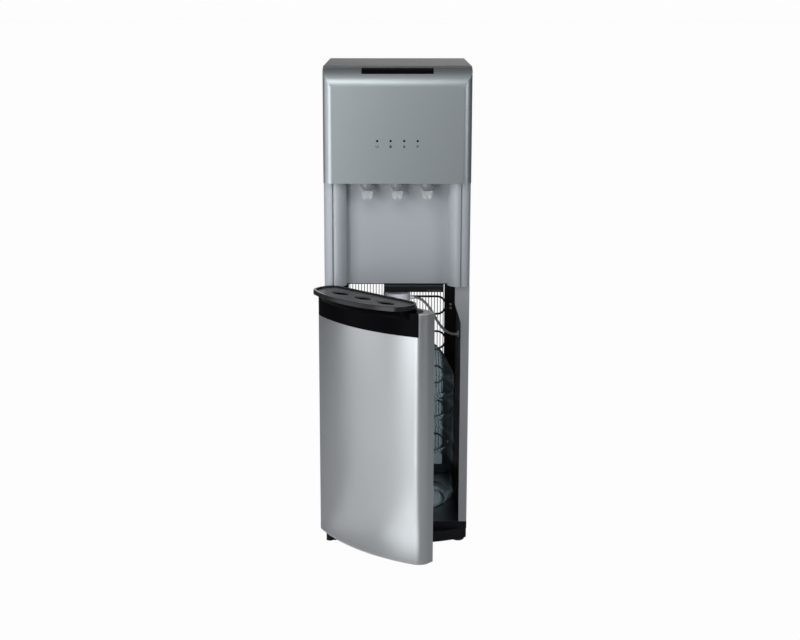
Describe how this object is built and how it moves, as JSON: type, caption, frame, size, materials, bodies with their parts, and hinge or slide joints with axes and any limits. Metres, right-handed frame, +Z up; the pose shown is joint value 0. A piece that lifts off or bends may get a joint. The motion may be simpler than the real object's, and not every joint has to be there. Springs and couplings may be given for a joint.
{
  "type": "water dispenser",
  "caption": "Tall free-standing bottom-loading water dispenser: open bow-front door with drip tray, bottle inside, taps in an alcove, wire condenser on the back.",
  "frame": {"origin": "on the floor under the middle of the cabinet, half-way between the feet", "axes": "+Z up, the front faces -Y, +X to the right of somebody standing in front"},
  "size_m": [0.3295, 0.6028, 1.0449],
  "materials": {
    "silver_paint": "satin metallic paint",
    "silver_plastic": "satin silver paint on plastic",
    "grey_paint": "satin paint",
    "lid_grey": "fine grained",
    "cap_grey": "fine grained",
    "black_paint": "satin paint",
    "black_plastic": "fine grained",
    "black_gloss": "gloss",
    "grille_grey": "coarse grained",
    "tap_grey": "satin",
    "paddle_white": "satin",
    "lens_clear": "clear",
    "board_green": "coated board",
    "fitting_grey": "satin",
    "probe_lavender": "satin",
    "hose_grey": "matt",
    "foam_white": "foam",
    "steel": "plain",
    "heater_mica": "dull",
    "compressor_black": "gloss paint",
    "rubber_black": "matt",
    "pump_white": "satin",
    "bottle_blue": "clear tint",
    "screw_zinc": "plated",
    "magnet_iron": "plain",
    "rocker_red": "satin",
    "rocker_green": "satin"
  },
  "bodies": {
    "cabinet": {"base_tray": "black_plastic", "feet": "rubber_black", "side_panel_left": "grey_paint", "side_panel_right": "grey_paint", "rear_frame": "black_paint", "back_panel": "grey_paint", "mid_deck": "black_paint", "tank_shelf": "steel", "top_lid": "lid_grey", "head_panel": "silver_plastic", "head_window": "black_gloss", "indicator_lenses": "lens_clear", "control_board": "board_green", "alcove_panel": "silver_plastic", "liner_left": "black_plastic", "liner_right": "black_plastic", "tap_nuts": "fitting_grey", "tap_hoses": "hose_grey", "cold_tank_jacket": "foam_white", "hot_tank": "steel", "heater_band": "heater_mica", "compressor": "compressor_black", "compressor_grommets": "rubber_black", "water_pump": "pump_white", "riser_pipe": "hose_grey", "hose_bulkhead": "fitting_grey", "suction_hose": "hose_grey", "bottle": "bottle_blue", "probe_cap": "probe_lavender", "dip_tube": "fitting_grey", "condenser_tube": "black_paint", "condenser_wires": "black_paint", "condenser_brackets": "black_paint", "bracket_screws": "screw_zinc", "hinge_bracket": "black_paint", "hinge_pin": "steel", "catch_housing": "black_plastic", "catch_magnet": "magnet_iron", "switch_frame": "black_plastic", "cord_grommet": "rubber_black", "drain_cap": "black_plastic", "tap_body_left": "tap_grey", "tap_body_centre": "tap_grey", "tap_body_right": "tap_grey"},
    "door": {"door_skin": "silver_paint", "door_liner": "black_plastic", "door_cap_top": "cap_grey", "door_cap_bottom": "cap_grey", "door_bushes": "fitting_grey", "door_strike": "steel", "drip_apron": "black_gloss"},
    "drip_tray": {"drip_tray": "black_gloss"},
    "drip_grille": {"drip_grille": "grille_grey"},
    "tap_lever_left": {"tap_lever_left": "paddle_white"},
    "tap_lever_centre": {"tap_lever_centre": "paddle_white"},
    "tap_lever_right": {"tap_lever_right": "paddle_white"},
    "rocker_hot": {"rocker_hot": "rocker_red"},
    "rocker_cold": {"rocker_cold": "rocker_green"}
  },
  "joints": [
    {"name": "door_hinge", "type": "hinge", "parent": "cabinet", "child": "door", "pos_m": [-0.147, -0.1815, 0.3], "axis": [0, 0, -1], "range_deg": [-44, 44]},
    {"name": "tray_lift", "type": "slide", "parent": "door", "child": "drip_tray", "axis": [0, 0, 1], "range_m": [0, 0.1]},
    {"name": "grille_lift", "type": "slide", "parent": "drip_tray", "child": "drip_grille", "axis": [0, 0, 1], "range_m": [0, 0.05]},
    {"name": "tap_lever_left_press", "type": "hinge", "parent": "cabinet", "child": "tap_lever_left", "pos_m": [-0.063, -0.1705, 0.7837], "axis": [1, 0, 0], "range_deg": [0, 14], "stiffness_Nm_per_rad": 0.12},
    {"name": "tap_lever_centre_press", "type": "hinge", "parent": "cabinet", "child": "tap_lever_centre", "pos_m": [0, -0.1705, 0.7837], "axis": [1, 0, 0], "range_deg": [0, 14], "stiffness_Nm_per_rad": 0.12},
    {"name": "tap_lever_right_press", "type": "hinge", "parent": "cabinet", "child": "tap_lever_right", "pos_m": [0.063, -0.1705, 0.7837], "axis": [1, 0, 0], "range_deg": [0, 14], "stiffness_Nm_per_rad": 0.12},
    {"name": "rocker_hot_rock", "type": "hinge", "parent": "cabinet", "child": "rocker_hot", "pos_m": [0.085, 0.1683, 0.698], "axis": [1, 0, 0], "range_deg": [0, 18]},
    {"name": "rocker_cold_rock", "type": "hinge", "parent": "cabinet", "child": "rocker_cold", "pos_m": [0.107, 0.1683, 0.698], "axis": [1, 0, 0], "range_deg": [0, 18]}
  ]
}
